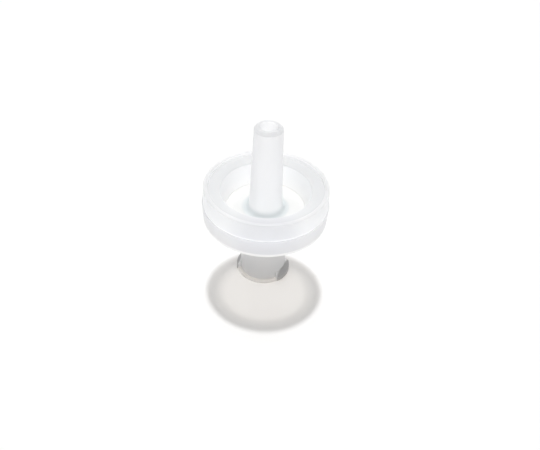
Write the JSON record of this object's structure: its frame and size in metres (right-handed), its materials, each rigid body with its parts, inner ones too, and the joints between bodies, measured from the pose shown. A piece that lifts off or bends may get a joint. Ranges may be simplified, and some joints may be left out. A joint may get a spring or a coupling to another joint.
{
  "type": "syringe filter",
  "caption": "Disc-shaped syringe filter with a luer-lock inlet hub below and a tapered luer outlet tube above, in translucent natural plastic.",
  "frame": {"origin": "centre of the inlet hub's open end, which is the face the filter stands on", "axes": "+Z along the flow axis from the inlet hub to the outlet luer, +X through the two luer-lock lugs"},
  "size_m": [0.0181, 0.018, 0.0251],
  "materials": {
    "inlet_plastic": "translucent natural polypropylene, satin",
    "outlet_plastic": "translucent natural polypropylene, satin",
    "membrane": "white microporous film"
  },
  "bodies": {
    "root": {"inlet_half": "inlet_plastic", "membrane": "membrane", "outlet_half": "outlet_plastic"}
  },
  "joints": []
}
